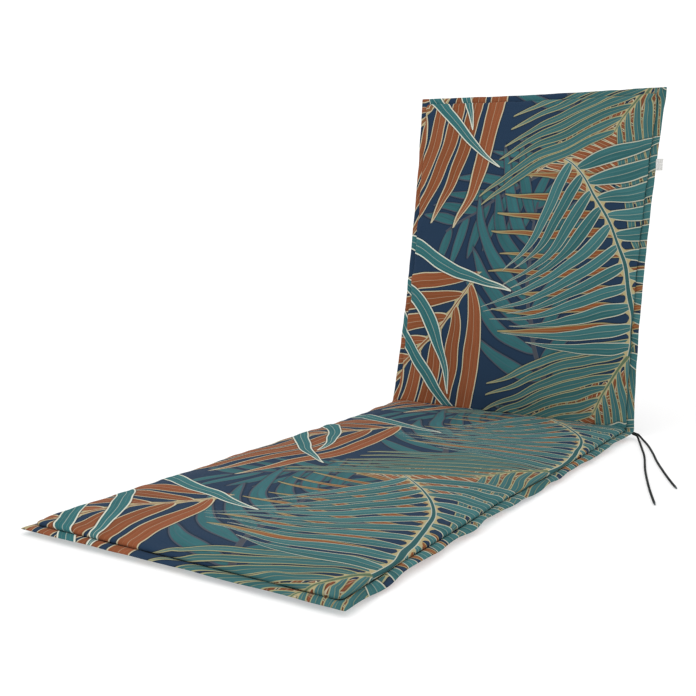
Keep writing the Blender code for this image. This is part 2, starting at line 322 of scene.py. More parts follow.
def pad_edge(depth):
    """How far a pad's edge really is inside the seam, and what part of its height it has there."""
    part = min(max(depth / EDGE_ROUND, 0), 1)
    turn = BULGE_START + (math.pi - BULGE_START) * part
    rise = (math.cos(BULGE_START) - math.cos(turn)) / (math.cos(BULGE_START) + 1)
    if turn < math.pi / 2:
        return BULGE_ROUND * (math.sin(BULGE_START) - math.sin(turn)), rise
    return EDGE_ROUND - TOP_ROUND * math.sin(turn), rise


def faces_of_cover(across, along):
    """The upper and lower face of the cover at a place, measured from the plane of the seam."""
    on_back = along > FOLD_MIDDLE
    start, end = (FOLD_MIDDLE, LENGTH - FLANGE_WIDTH) if on_back else (FLANGE_WIDTH, FOLD_MIDDLE)
    seam = WIDTH / 2 - FLANGE_WIDTH
    rise = pad_edge(min(inside_seams(across, along)))[1]
    middle = (1 - (across / seam) ** 2) * (1 - ((2 * along - start - end) / (end - start)) ** 4)
    middle = max(middle, 0)
    uneven = side_value(SIDE_SWELL, across, along) * abs(across) / seam
    inset = min(WIDTH / 2 - abs(across), along, LENGTH - along)
    out = min(max(1 - inset / FLANGE_WIDTH, 0), 1)
    half = (SEAM_THICK + (FLANGE_THICK - SEAM_THICK) * (1 - abs(2 * out - 1) ** 3)) / 2
    lift = side_value(SIDE_LIFT, across, along) * out ** 2
    upper = half + lift + rise * (LOFT_AT_EDGE + LOFT_IN_MIDDLE * middle + uneven)
    if on_back:
        return upper, -half + lift - rise * (REAR_LOFT_AT_EDGE + REAR_LOFT_IN_MIDDLE * middle)
    return upper, -half + lift - rise * (SEAT_UNDER - SEAM_THICK / 2)


def sewn_place(across, along):
    """A place of the flat cover once it is sewn: bulging pads, rounded corners, drawn-in edges."""
    side, tip = inside_seams(across, along)
    depth, reach = min(side, tip), abs(side - tip)
    pushed = depth - pad_edge(depth)[0] if 0 < depth < EDGE_ROUND else 0
    near, far = depth - pushed, depth + reach - pushed * max(1 - reach / CORNER_FADE, 0)
    outside = -depth / FLANGE_WIDTH
    if depth >= 0:
        size = PAD_CORNER_ROUND * (1 - depth / CORNER_FADE)
    elif min(along, LENGTH - along) < OUTER_ZONE:
        size = PAD_CORNER_ROUND + (CORNER_ROUND - PAD_CORNER_ROUND) * outside
    else:
        size = PAD_CORNER_ROUND * (1 + depth / FOLD_LINE_HALF)
    if far - near < size:
        angle = math.pi / 4 * (1 - (far - near) / size)
        near, far = near + size * (1 - math.cos(angle)), near + size * (1 - math.sin(angle))
    new_side, new_tip = (near, far) if side < tip else (far, near)
    across += (side - new_side) * math.copysign(1, across)
    start_is_near = along < FOLD_MIDDLE / 2 or FOLD_MIDDLE < along < (FOLD_MIDDLE + LENGTH) / 2
    along += (new_tip - tip) * (1 if start_is_near else -1)
    edge = WIDTH / 2
    narrowed = across * (1 - side_value(SIDE_DRAWN_IN, across, along) / edge)
    head = along > LENGTH / 2
    end_pull = END_DRAWN_IN * (1 - (across / edge) ** 2)
    share = (min(max(along / LENGTH, 0), 1) if head else 1 - along / LENGTH) ** END_PULL_POWER
    return narrowed, along - end_pull * share * (1 if head else -1)


def folded(across, along, proud):
    """A place of the cover in its folded pose, proud of the plane of the seam by so much."""
    turn = min(max((along - FOLD_START) / FOLD_RADIUS, 0), FOLD_TURN)
    straight = min(along - FOLD_START, 0) + max(along - FOLD_END, 0)
    reach = FOLD_RADIUS - proud
    y = CORNER_Y - FOLD_TANGENT + reach * math.sin(turn) + straight * math.cos(turn)
    z = SEAT_UNDER + FOLD_RADIUS - reach * math.cos(turn) + straight * math.sin(turn)
    return (across, y, z)


def even_lines(start, end, pitch):
    """Lines between two others, without them, at an even pitch near the one that is asked for."""
    count = max(round((end - start) / pitch), 1)
    return [start + (end - start) * step / count for step in range(1, count)]


left_half = [line - WIDTH / 2 for line in EDGE_LINES]
inner_half = even_lines(left_half[-1], 0, INNER_COLUMN_PITCH)
columns = left_half + inner_half + [0]
columns += [-place for place in reversed(left_half + inner_half)]
before_fold = [FOLD_MIDDLE - line for line in reversed(FOLD_LINES)]
after_fold = [FOLD_MIDDLE + line for line in FOLD_LINES]
head_end = [LENGTH - line for line in reversed(EDGE_LINES)]
rows = list(EDGE_LINES) + even_lines(EDGE_LINES[-1], before_fold[0], INNER_ROW_PITCH)
rows += before_fold + [FOLD_MIDDLE] + after_fold
rows += even_lines(after_fold[-1], head_end[0], INNER_ROW_PITCH) + head_end

# Two sheets of cloth, one over the other, laid out as the cover is cut
sheets = []
for sheet_name, face_index in (("upper", 0), ("lower", 1)):
    bpy.ops.mesh.primitive_grid_add(
        x_subdivisions=len(columns) - 1, y_subdivisions=len(rows) - 1, size=1,
    )
    sheet = bpy.context.object
    sheet.name = "cushion_" + sheet_name
    across_of = []
    along_of = []
    for vert in sheet.data.vertices:
        across = columns[round((vert.co.x + 0.5) * (len(columns) - 1))]
        along = rows[round((vert.co.y + 0.5) * (len(rows) - 1))]
        x, place = sewn_place(across, along)
        vert.co = folded(x, place, faces_of_cover(across, along)[face_index])
        across_of.append(across)
        along_of.append(along)
    give_points(sheet.data, "across", across_of)
    give_points(sheet.data, "along", along_of)
    give_points(sheet.data, "lower", [float(face_index)] * len(across_of))
    if face_index == 1:
        sheet.data.flip_normals()
    sheets.append(sheet)

# Joined at their outer edges
cushion = sheets[0]
pick(sheets[1], cushion)
bpy.ops.object.join()
cushion.name = "cushion_cover"
bpy.ops.object.mode_set(mode="EDIT")
bpy.ops.mesh.select_all(action="DESELECT")
bpy.ops.mesh.select_mode(type="EDGE")
bpy.ops.mesh.select_non_manifold()
bpy.ops.mesh.bridge_edge_loops()
bpy.ops.mesh.select_all(action="SELECT")
bpy.ops.mesh.normals_make_consistent(inside=False)
bpy.ops.object.mode_set(mode="OBJECT")
cushion.data.shade_smooth()

# The cloth's own coordinates in metres, across and along the cover as it was cut: each bulging
# edge takes up more cloth than it spans. The lower sheet is cut from another stretch of the print.
LOWER_SHEET_SHIFT = 0.31
SEAT_END = FOLD_MIDDLE - FOLD_LINE_HALF
BACK_START = FOLD_MIDDLE + FOLD_LINE_HALF


def point_values(data, name):
    """The values that a mesh has for its points under this name."""
    numbers = np.zeros(len(data.vertices), np.float32)
    data.attributes[name].data.foreach_get("value", numbers)
    return numbers


data = cushion.data
count = len(data.vertices)
across_of, along_of, lower_of = (point_values(data, name) for name in ("across", "along", "lower"))
side_seam = WIDTH / 2 - FLANGE_WIDTH
taken_across = np.clip((np.abs(across_of) - side_seam + EDGE_ROUND) / EDGE_ROUND, 0, 1)
cut_across = across_of + np.sign(across_of) * EDGE_TAKES_UP * taken_across
edges_passed = np.clip((along_of - FLANGE_WIDTH) / EDGE_ROUND, 0, 1)
edges_passed += np.clip((along_of - SEAT_END + EDGE_ROUND) / EDGE_ROUND, 0, 1)
edges_passed += np.clip((along_of - BACK_START) / EDGE_ROUND, 0, 1)
edges_passed += np.clip((along_of - LENGTH + FLANGE_WIDTH + EDGE_ROUND) / EDGE_ROUND, 0, 1)
cut_along = along_of + EDGE_TAKES_UP * (edges_passed - 1)
while data.uv_layers:
    data.uv_layers.remove(data.uv_layers[0])
cloth_layer = data.uv_layers.new(name="cloth")
for face in data.polygons:
    underside = all(lower_of[vert] > 0.5 for vert in face.vertices)
    for corner, vert in zip(face.loop_indices, face.vertices):
        across, along = float(cut_across[vert]), float(cut_along[vert])
        if underside:
            across, along = -across, along + LOWER_SHEET_SHIFT
        cloth_layer.data[corner].uv = (across, along)
depths = [min(inside_seams(across_of[index], along_of[index])) for index in range(count)]
give_points(data, "from_seam", depths)

# The filling presses the cloth out. The edge, the seams, the fold and the underside that lies on
# the floor hold still, and nothing moves further than the real cover could.
SWELL_LIMIT = 0.0050
SWELL_FRAMES = 20
HELD_TO = EDGE_ROUND * 0.9  # from the seam
SWELL_FREE_OVER = 0.035  # from there
HELD_PAST_FOLD = 0.02  # of the lower sheet
held = cushion.vertex_groups.new(name="held")
still = [
    index for index in range(count)
    if depths[index] < HELD_TO
    or (lower_of[index] > 0.5 and along_of[index] < FOLD_MIDDLE + HELD_PAST_FOLD)
]
held.add(still, 1.0, "REPLACE")
rest = np.zeros(count * 3, np.float32)
data.vertices.foreach_get("co", rest)
cloth = cushion.modifiers.new("filling", "CLOTH")
cloth.settings.quality = 6
cloth.settings.mass = 0.3
cloth.settings.tension_stiffness = 20
cloth.settings.compression_stiffness = 20
cloth.settings.shear_stiffness = 8
cloth.settings.bending_stiffness = 0.3
cloth.settings.vertex_group_mass = "held"
cloth.settings.shrink_min = -0.02
cloth.settings.use_pressure = True
cloth.settings.uniform_pressure_force = 4
cloth.settings.effector_weights.gravity = 0
cloth.point_cache.frame_start = 1
cloth.point_cache.frame_end = SWELL_FRAMES
for step in range(1, SWELL_FRAMES + 1):
    bpy.context.scene.frame_set(step)
pick(cushion)
bpy.ops.object.modifier_apply(modifier=cloth.name)
moved = np.zeros(count * 3, np.float32)
data.vertices.foreach_get("co", moved)
shift = (moved - rest).reshape(-1, 3)
size = np.maximum(np.linalg.norm(shift, axis=1), 1e-9)
free = np.clip((np.array(depths) - HELD_TO) / SWELL_FREE_OVER, 0, 1)
shift *= (free * SWELL_LIMIT * np.tanh(size / SWELL_LIMIT) / size)[:, None]
data.vertices.foreach_set("co", rest + shift.ravel())
data.update()
cushion.vertex_groups.clear()
soften = cushion.modifiers.new("soften", "SUBSURF")
soften.levels = soften.render_levels = 1
pick(cushion)
bpy.ops.object.modifier_apply(modifier=soften.name)

# Small puckers where the seams gather the cloth, the soft unevenness of the filling, and the
# flutter of the flat edge round the seat
PUCKER_TALL = 0.0040
PUCKER_LENGTH = 0.042
PUCKER_START = 0.004  # inside the seam, where a pucker has its full height
PUCKER_REACH = 0.019
PUCKER_OUTSIDE = 0.35  # of its height, on the flat edge
PUCKER_ON_FLOOR = 0.3
UNEVEN_TALL = 0.0036
UNEVEN_LENGTH = 0.16
UNEVEN_FADE = 0.05  # inside the seam
FLUTTER_TALL = 0.0048
FLUTTER_LENGTH = 0.062
FLUTTER_FADE = 0.10  # towards the fold, where the ties hold the edge, and towards the foot end
FLUTTER_AT_FOOT = 0.2  # of its full height
# Each of them reads another stretch of the noise, and so do the two sheets and the two sides
END_SEAM_SEED, SIDE_SEED, UNEVEN_SEED, LOWER_SEED, FLUTTER_SEED = 3, 2, 3, 5, 9
# unseeded, the noise vectors would differ from run to run
noise.seed_set(FLUTTER_SEED)
count = len(data.vertices)
places = [point_values(data, name).tolist() for name in ("across", "along", "lower")]
spots = np.zeros(count * 3, np.float32)
data.vertices.foreach_get("co", spots)
normals = np.zeros(count * 3, np.float32)
data.vertex_normals.foreach_get("vector", normals)
heights = np.zeros(count)
flutters = np.zeros((count, 3))
for index, (across, along, lower) in enumerate(zip(*places)):
    on_floor = lower > 0.5 and along < FOLD_MIDDLE
    side, tip = inside_seams(across, along)
    depth = min(side, tip)
    nearness = min(depth / PUCKER_START, 1) * math.exp(-(depth / PUCKER_REACH) ** 2)
    if depth < 0:
        nearness = PUCKER_OUTSIDE
    by_seam = along if side < tip else across + END_SEAM_SEED
    sheet_seed = lower * LOWER_SEED
    pinch = noise.noise((by_seam / PUCKER_LENGTH, math.copysign(SIDE_SEED, across), sheet_seed))
    swell = noise.noise((across / UNEVEN_LENGTH, along / UNEVEN_LENGTH, UNEVEN_SEED + sheet_seed))
    inside = 0 if on_floor else min(max(depth / UNEVEN_FADE, 0), 1)
    heights[index] = PUCKER_TALL * nearness * (PUCKER_ON_FLOOR if on_floor else 1) * pinch
    heights[index] += UNEVEN_TALL * swell * inside
    from_ends = min(FOLD_START - along, along + FLUTTER_AT_FOOT * FLUTTER_FADE)
    loose = min(max(-depth / FLANGE_WIDTH, 0), 1) * min(max(from_ends / FLUTTER_FADE, 0), 1)
    if loose > 0:
        flutter_at = (across / FLUTTER_LENGTH, along / FLUTTER_LENGTH, FLUTTER_SEED)
        flutters[index] = loose * noise.noise_vector(flutter_at)
spots += normals * np.repeat(heights, 3) + FLUTTER_TALL * flutters.ravel()
spots[2::3] = np.maximum(spots[2::3], 0)
data.vertices.foreach_set("co", spots)
data.update()

# Printed cotton and polyester canvas: a matt plain weave, about 15 threads to the centimetre,
# with dyes printed in layers: faint fans on navy, rust fronds, and teal fronds drawn in cream.
REPEAT = 0.62  # of the print along the cloth
RIB_HALF = 0.0006
VEIN_HALF = 0.0004
VEIN_DRAWN = 0.18  # how strongly, beside the rib
RIB_DRAWN = 0.45
WEB_REACH = 0.030
WEB_ROUND = 8  # how far the web fills a gap beside a leaf, over the middle of the gap
HALO_REACH = 0.0035  # of the dark edge that is printed round each leaf
HALO_STRENGTH = 0.55
STREAKS_ACROSS, STREAKS_ALONG = 260, 14  # in a metre of a leaf
STREAKS_APART = 31  # of one leaf from another
# A leaf's shade, from its dark to its light ink: its streaks, the leaf, and the half that is lit
SHADE_OF_LEAF = 0.5
SHADE_OF_HALF = 0.22
SHADE_CONTRAST = 1.1
SHADE_DARKER = 0.45
LEAST_LONG, MORE_LONG = 0.8, 0.3  # a leaf's length is its row's, times the first plus up to the second
LEAF_ROOM = 0.9  # of the pitch that a leaf's half width may take
LEAF_SWAY = 0.3  # of the pitch, at its tip
STEM_THINS = 0.75  # of its width, by its tip


def new_group(name, numbers, colours, results):
    """A node group with these inputs and results, and with its inputs as sockets under their names."""
    group = bpy.data.node_groups.new(name, "ShaderNodeTree")
    number, colour = "NodeSocketFloat", "NodeSocketColor"
    sockets = [(socket, "INPUT", number) for socket in numbers]
    sockets += [(socket, "INPUT", colour) for socket in colours]
    sockets += [(socket, "OUTPUT", colour if colours else number) for socket in results]
    for socket, way, kind in sockets:
        group.interface.new_socket(socket, in_out=way, socket_type=kind)
    entry = add_node(group, "NodeGroupInput", {}, {})
    return group, {socket: entry.outputs[socket] for socket in (*numbers, *colours)}


def use_group(tree, group, values):
    """Add a node that runs this group, with the values that it asks for, and give its results."""
    asked = [socket.name for socket in group.interface.items_tree if socket.in_out == "INPUT"]
    return add_node(tree, "ShaderNodeGroup", {"node_tree": group}, {
        name: values[name] for name in asked
    }).outputs


# Turns a place on the cloth into how far along a curved stem it is, and how far off to its left
ARC_INPUTS = (
    "across", "along", "root_across", "root_along", "middle", "heading_across", "heading_along",
    "radius",
)
arc_group, values = new_group("place_on_a_stem", ARC_INPUTS, (), ("on", "off"))
add_steps(arc_group, values, (
    ("beyond", "SUBTRACT", "along", "root_along"),
    ("from_middle", "SUBTRACT", "beyond", "middle"),
    ("in_repeat", "WRAP", "from_middle", REPEAT / 2, -REPEAT / 2),
    ("up", "ADD", "in_repeat", "middle"),
    ("right", "SUBTRACT", "across", "root_across"),
    ("right_ahead", "MULTIPLY", "right", "heading_across"),
    ("ahead", "MULTIPLY_ADD", "up", "heading_along", "right_ahead"),
    ("right_left", "MULTIPLY", "right", "heading_along"),
    ("up_left", "MULTIPLY", "up", "heading_across"),
    ("left", "SUBTRACT", "up_left", "right_left"),
    ("side", "SIGN", "radius"),
    ("size", "ABSOLUTE", "radius"),
    ("from_centre", "SUBTRACT", "radius", "left"),
    ("inner", "MULTIPLY", "from_centre", "side"),
    ("turn", "ARCTAN2", "ahead", "inner"),
    ("on", "MULTIPLY", "size", "turn"),
    ("ahead_squared", "MULTIPLY", "ahead", "ahead"),
    ("both_squared", "MULTIPLY_ADD", "inner", "inner", "ahead_squared"),
    ("distance", "SQRT", "both_squared"),
    ("short_by", "SUBTRACT", "size", "distance"),
    ("off", "MULTIPLY", "short_by", "side"),
))
add_node(arc_group, "NodeGroupOutput", {}, {"on": values["on"], "off": values["off"]})

# Paints one leaf over what is under it: its drawn edge, its blade in two shades, rib and veins
LEAF_NUMBERS = ("aside", "half", "along_leaf", "shown", "line_half", "web", "chance", "seed")
LEAF_COLOURS = ("under", "dark", "light", "line")
leaf_group, values = new_group("printed_leaf", LEAF_NUMBERS, LEAF_COLOURS, ("colour",))
add_steps(leaf_group, values, (
    ("from_rib", "ABSOLUTE", "aside"),
    ("to_web_end", "MULTIPLY_ADD", "along_leaf", -1 / WEB_REACH, 1),
    ("near_root", "MAXIMUM", "to_web_end", 0),
    ("nearness", "MULTIPLY", "near_root", "near_root"),
    ("line_here", "MULTIPLY_ADD", "nearness", "web", "line_half"),
    ("edge", "SUBTRACT", "from_rib", "half"),
    ("in_line", "LESS_THAN", "edge", "line_here"),
    ("leaf_mark", "MULTIPLY", "in_line", "shown"),
    ("past_line", "SUBTRACT", "edge", "line_here"),
    ("halo_left", "MULTIPLY_ADD", "past_line", -1 / HALO_REACH, 1),
    ("halo_above", "MAXIMUM", "halo_left", 0),
    ("halo_part", "MINIMUM", "halo_above", 1),
    ("halo_shown", "MULTIPLY", "halo_part", "shown"),
    ("halo", "MULTIPLY", "halo_shown", HALO_STRENGTH),
    ("line_inside", "MULTIPLY", "line_half", -1),
    ("in_blade", "LESS_THAN", "edge", "line_inside"),
    ("blade_mark", "MULTIPLY", "in_blade", "shown"),
    ("rib", "LESS_THAN", "from_rib", RIB_HALF),
    ("from_vein", "MULTIPLY_ADD", "half", -0.5, "from_rib"),
    ("to_vein", "ABSOLUTE", "from_vein"),
    ("vein", "LESS_THAN", "to_vein", VEIN_HALF),
    ("faint_vein", "MULTIPLY", "vein", VEIN_DRAWN),
    ("drawn", "MAXIMUM", "rib", "faint_vein"),
    ("drawn_faintly", "MULTIPLY", "drawn", RIB_DRAWN),
    ("streak_place", "MULTIPLY", "aside", STREAKS_ACROSS),
    ("streak_run", "MULTIPLY", "along_leaf", STREAKS_ALONG),
    ("streak_leaf", "MULTIPLY_ADD", "chance", STREAKS_APART, "seed"),
    ("upper_half", "GREATER_THAN", "aside", 0),
))
streak_at = add_node(leaf_group, "ShaderNodeCombineXYZ", {}, {
    0: values["streak_place"], 1: values["streak_run"], 2: values["streak_leaf"],
})
streaks = add_node(leaf_group, "ShaderNodeTexNoise", {"noise_dimensions": "3D"}, {
    "Vector": streak_at.outputs[0], "Scale": 1.0, "Detail": 1.0,
})
values["streaks"] = streaks.outputs[0]
add_steps(leaf_group, values, (
    ("by_leaf", "MULTIPLY_ADD", "chance", SHADE_OF_LEAF, "streaks"),
    ("by_half", "MULTIPLY_ADD", "upper_half", SHADE_OF_HALF, "by_leaf"),
    ("shade", "MULTIPLY_ADD", "by_half", SHADE_CONTRAST, -SHADE_DARKER),
))
values["halo_ink"] = linear("#10181C")
for result, mark, under, ink in (
    ("blade", "shade", "dark", "light"),
    ("ribbed", "drawn_faintly", "blade", "line"),
    ("shaded", "halo", "under", "halo_ink"),
    ("edged", "leaf_mark", "shaded", "line"),
    ("painted", "blade_mark", "edged", "ribbed"),
):
    values[result] = add_node(leaf_group, "ShaderNodeMix", {"data_type": "RGBA"}, {
        0: values[mark], 6: values[under], 7: values[ink],
    }).outputs[2]
add_node(leaf_group, "NodeGroupOutput", {}, {"colour": values["painted"]})

# Paints a whole frond: a curved stem with leaves at an even pitch on both sides of it
FROND_NUMBERS = (
    "length", "pitch", "lean", "lean_gain", "curl", "leaf_length", "leaf_half", "ends", "belly",
    "taper", "line_half", "web", "stem_half", "seed", "short_right",
)
FROND_COLOURS = LEAF_COLOURS + ("stem",)
frond_group, values = new_group(
    "printed_frond", ARC_INPUTS + FROND_NUMBERS, FROND_COLOURS, ("colour",),
)
arc = use_group(frond_group, arc_group, values)
values.update(on=arc["on"], off=arc["off"])
add_steps(frond_group, values, (
    ("out", "ABSOLUTE", "off"),
    ("right_side", "LESS_THAN", "off", 0),
    ("lean_here", "MULTIPLY_ADD", "on", "lean_gain", "lean"),
    ("lean_out", "MULTIPLY_ADD", "out", "curl", "lean_here"),
    ("swept", "MULTIPLY", "out", "lean_out"),
    ("start", "SUBTRACT", "on", "swept"),
    ("leaves_on", "DIVIDE", "start", "pitch"),
    ("leaf_place", "MULTIPLY_ADD", "right_side", 0.5, "leaves_on"),
    ("leaf", "FLOOR", "leaf_place"),
    ("in_leaf", "FRACT", "leaf_place"),
    ("from_rib", "SUBTRACT", "in_leaf", 0.5),
    ("slope", "MULTIPLY_ADD", "out", "curl", "lean_out"),
    ("slope_squared", "MULTIPLY_ADD", "slope", "slope", 1),
    ("narrowing", "INVERSE_SQRT", "slope_squared"),
    ("spread", "MULTIPLY", "from_rib", "pitch"),
    ("across_leaf", "MULTIPLY", "spread", "narrowing"),
    ("lean_squared", "MULTIPLY_ADD", "lean_out", "lean_out", 1),
    ("stretch", "SQRT", "lean_squared"),
    ("along_leaf", "MULTIPLY", "out", "stretch"),
    ("root_count", "MULTIPLY_ADD", "right_side", -0.5, "leaf"),
    ("root_middle", "ADD", "root_count", 0.5),
    ("root_at", "MULTIPLY", "root_middle", "pitch"),
    ("root_part", "DIVIDE", "root_at", "length"),
    ("on_stem", "COMPARE", "root_part", 0.5, 0.5),
    ("bow", "MULTIPLY_ADD", "root_part", 2, -1),
    ("bow_squared", "MULTIPLY", "bow", "bow"),
    ("hump", "SUBTRACT", 1, "bow_squared"),
    ("full", "POWER", "hump", 0.5),
    ("not_ends", "SUBTRACT", 1, "ends"),
    ("fullness", "MULTIPLY_ADD", "full", "not_ends", "ends"),
))
leaf_id = add_node(frond_group, "ShaderNodeCombineXYZ", {}, {
    0: values["leaf"], 1: values["right_side"], 2: values["seed"],
})
chances = add_node(frond_group, "ShaderNodeTexWhiteNoise", {"noise_dimensions": "3D"}, {
    "Vector": leaf_id.outputs[0],
})
two_chances = add_node(frond_group, "ShaderNodeSeparateColor", {}, {0: chances.outputs["Color"]})
values.update(chance=two_chances.outputs[0], other_chance=two_chances.outputs[1])
add_steps(frond_group, values, (
    ("long_chance", "MULTIPLY_ADD", "chance", MORE_LONG, LEAST_LONG),
    ("long_here", "MULTIPLY", "leaf_length", "long_chance"),
    ("shortened", "MULTIPLY", "right_side", "short_right"),
    ("not_shortened", "SUBTRACT", 1, "shortened"),
    ("side_long", "MULTIPLY", "long_here", "not_shortened"),
    ("long", "MULTIPLY", "side_long", "fullness"),
    ("part", "DIVIDE", "along_leaf", "long"),
    ("left_over", "SUBTRACT", 1, "part"),
    ("opening", "POWER", "part", "belly"),
    ("closing", "POWER", "left_over", "taper"),
    ("leaf_shape", "MULTIPLY", "opening", "closing"),
    ("half_pitch", "MULTIPLY", "pitch", LEAF_ROOM),
    ("room", "MULTIPLY", "half_pitch", "narrowing"),
    ("fitting_half", "MINIMUM", "leaf_half", "room"),
    ("half", "MULTIPLY", "leaf_shape", "fitting_half"),
    ("on_leaf", "GREATER_THAN", "left_over", 0),
    ("shown", "MULTIPLY", "on_leaf", "on_stem"),
    ("sway", "SUBTRACT", "other_chance", 0.5),
    ("sway_most", "MULTIPLY", "pitch", LEAF_SWAY),
    ("sway_part", "MULTIPLY", "sway", "part"),
    ("aside", "MULTIPLY_ADD", "sway_part", "sway_most", "across_leaf"),
))
painted = use_group(frond_group, leaf_group, values)["colour"]
add_steps(frond_group, values, (
    ("stem_part", "DIVIDE", "on", "length"),
    ("beside_stem", "COMPARE", "stem_part", 0.5, 0.5),
    ("stem_left", "MULTIPLY_ADD", "stem_part", -STEM_THINS, 1),
    ("stem_here", "MULTIPLY", "stem_half", "stem_left"),
    ("from_stem", "SUBTRACT", "out", "stem_here"),
    ("in_stem_line", "LESS_THAN", "from_stem", "line_half"),
    ("stem_line", "MULTIPLY", "in_stem_line", "beside_stem"),
    ("line_inside", "MULTIPLY", "line_half", -0.5),
    ("in_stem", "LESS_THAN", "from_stem", "line_inside"),
    ("stem_mark", "MULTIPLY", "in_stem", "beside_stem"),
    ("leaf_place_off", "ABSOLUTE", "from_rib"),
    ("to_border", "MULTIPLY_ADD", "leaf_place_off", -2, 1),
    ("to_border_squared", "MULTIPLY", "to_border", "to_border"),
    ("web_grow", "MULTIPLY_ADD", "to_border_squared", WEB_ROUND, 1),
    ("web_reach", "MULTIPLY", "web_grow", "web"),
    ("near_stem", "LESS_THAN", "from_stem", "web_reach"),
    ("aside_size", "ABSOLUTE", "aside"),
    ("in_gap", "GREATER_THAN", "aside_size", "half"),
    ("gap_by_stem", "MULTIPLY", "near_stem", "in_gap"),
    ("web_mark", "MULTIPLY", "gap_by_stem", "beside_stem"),
))
values["web_ink"] = linear("#A79B74")
for mark, ink in (("web_mark", "web_ink"), ("stem_line", "line"), ("stem_mark", "stem")):
    painted = add_node(frond_group, "ShaderNodeMix", {"data_type": "RGBA"}, {
        0: values[mark], 6: painted, 7: values[ink],
    }).outputs[2]
add_node(frond_group, "NodeGroupOutput", {}, {"colour": painted})

# Paints one long leaf on its own, such as those that cross the rust fronds
LONG_NUMBERS = ("length", "leaf_half", "belly", "taper", "line_half", "seed")
long_group, values = new_group(
    "printed_long_leaf", ARC_INPUTS + LONG_NUMBERS, LEAF_COLOURS, ("colour",),
)
arc = use_group(long_group, arc_group, values)
values.update(along_leaf=arc["on"], aside=arc["off"])
add_steps(long_group, values, (
    ("part", "DIVIDE", "along_leaf", "length"),
    ("shown", "COMPARE", "part", 0.5, 0.5),
    ("left_over", "SUBTRACT", 1, "part"),
    ("opening", "POWER", "part", "belly"),
    ("closing", "POWER", "left_over", "taper"),
    ("leaf_shape", "MULTIPLY", "opening", "closing"),
    ("half", "MULTIPLY", "leaf_shape", "leaf_half"),
))
values.update(web=0.0, chance=0.5)
painted = use_group(long_group, leaf_group, values)["colour"]
add_node(long_group, "NodeGroupOutput", {}, {"colour": painted})

# The inks: dark and light of a leaf, its drawn line, and its stem
NAVY = "#24374D"
INKS = {
    "faint": ("#2D595D", "#396B70", "#474D58", "#484B52"),
    "rust": ("#774429", "#8B5135", "#BAB195", "#81593B"),
    "rust_gold": ("#78442A", "#8B5230", "#968A64", "#81593B"),
    "teal": ("#2D595B", "#407173", "#B0B1A0", "#30585A"),
    "teal_gold": ("#2F595B", "#3F6C6F", "#969370", "#586A52"),
    "teal_cream": ("#285B5E", "#3A6F72", "#CBCDBE", "#30585A"),
}

# The fronds of one repeat, from the lowest layer to the highest. Places and lengths are in
# metres and turns in degrees: a heading of 0 points to the right edge, and 90 to the head end.
FROND_COLUMNS = (
    "ink", "root_across", "root_along", "middle", "heading", "radius", "length", "pitch", "lean",
    "lean_gain", "curl", "leaf_length", "leaf_width", "ends", "belly", "taper", "line", "web",
    "stem_width", "seed", "short_right",
)
FRONDS = (
    ("faint", 0.36, 0.56, -0.02, 186, 1.2, 0.60, 0.056, 0.8,
     0.6, 0.8, 0.16, 0.023, 0.5, 0.45, 0.8, 0.0026, 0.000, 0.009, 3.0, 0.0),
    ("faint", 0.11, 0.00, 0.29, 120, -0.60, 0.44, 0.062, 0.5,
     1.6, 0.9, 0.25, 0.027, 0.5, 0.50, 0.8, 0.0028, 0.000, 0.011, 1.0, 0.0),
    ("rust", 0.36, 0.06, -0.10, 203, 1.5, 0.40, 0.026, -0.85,
     0.0, 0.4, 0.22, 0.0190, 0.85, 0.30, 0.6, 0.0019, 0.001, 0.007, 5.0, 0.75),
    ("rust_gold", 0.33, 0.15, 0.16, 92, 1.5, 0.34, 0.040, -0.16,
     1.0, 0.2, 0.38, 0.016, 0.8, 0.35, 0.9, 0.0022, 0.000, 0.006, 6.0, 0.0),
    ("rust", -0.335, -0.030, -0.02, 42, 1.4, 0.40, 0.068, -1.38,
     1.6, 0.3, 0.46, 0.037, 0.74, 0.42, 0.8, 0.0024, 0.0018, 0.009, 2.0, 0.0),
    ("teal_gold", 0.305, 0.135, -0.13, 236, 2.0, 0.20, 0.033, 1.10,
     0.5, -0.4, 0.38, 0.0180, 0.9, 0.38, 0.8, 0.0019, 0.002, 0.009, 7.0, 0.0),
    ("teal", 0.283, 0.096, 0.21, 84, 0.46, 0.49, 0.045, -0.28,
     -0.35, 0.1, 0.36, 0.031, 0.62, 0.42, 0.95, 0.0020, 0.0032, 0.011, 4.0, 0.0),
)
LONG_COLUMNS = (
    "ink", "root_across", "root_along", "middle", "heading", "radius", "length", "leaf_width",
    "belly", "taper", "line", "seed",
)
LONG_LEAVES = (
    ("teal_cream", -0.345, 0.200, -0.05, -62, 0.9, 0.42, 0.030, 0.4, 0.8, 0.0026, 1.0),
    ("teal_cream", -0.335, 0.245, -0.05, -32, -0.42, 0.34, 0.031, 0.4, 0.8, 0.0026, 2.0),
    ("teal_cream", -0.350, 0.345, -0.05, -26, 2.0, 0.37, 0.032, 0.4, 0.8, 0.0028, 3.0),
)


def widest(belly, taper):
    """What a leaf's shape is divided by, so that it is as wide as its width says."""
    place = belly / (belly + taper)
    return place ** belly * (1 - place) ** taper


def paint(tree, group, row, place, under):
    """Paint one row of a table at this place on the cloth, over what is under it."""
    inputs = dict(row, across=place[0], along=place[1], under=under)
    heading = math.radians(row["heading"])
    inputs.update(heading_across=math.cos(heading), heading_along=math.sin(heading))
    inputs["leaf_half"] = row["leaf_width"] / 2 / widest(row["belly"], row["taper"])
    inputs["line_half"] = row["line"] / 2
    inputs["stem_half"] = row.get("stem_width", 0) / 2
    inputs.update(zip(("dark", "light", "line", "stem"), map(linear, INKS[row["ink"]])))
    return use_group(tree, group, inputs)["colour"]


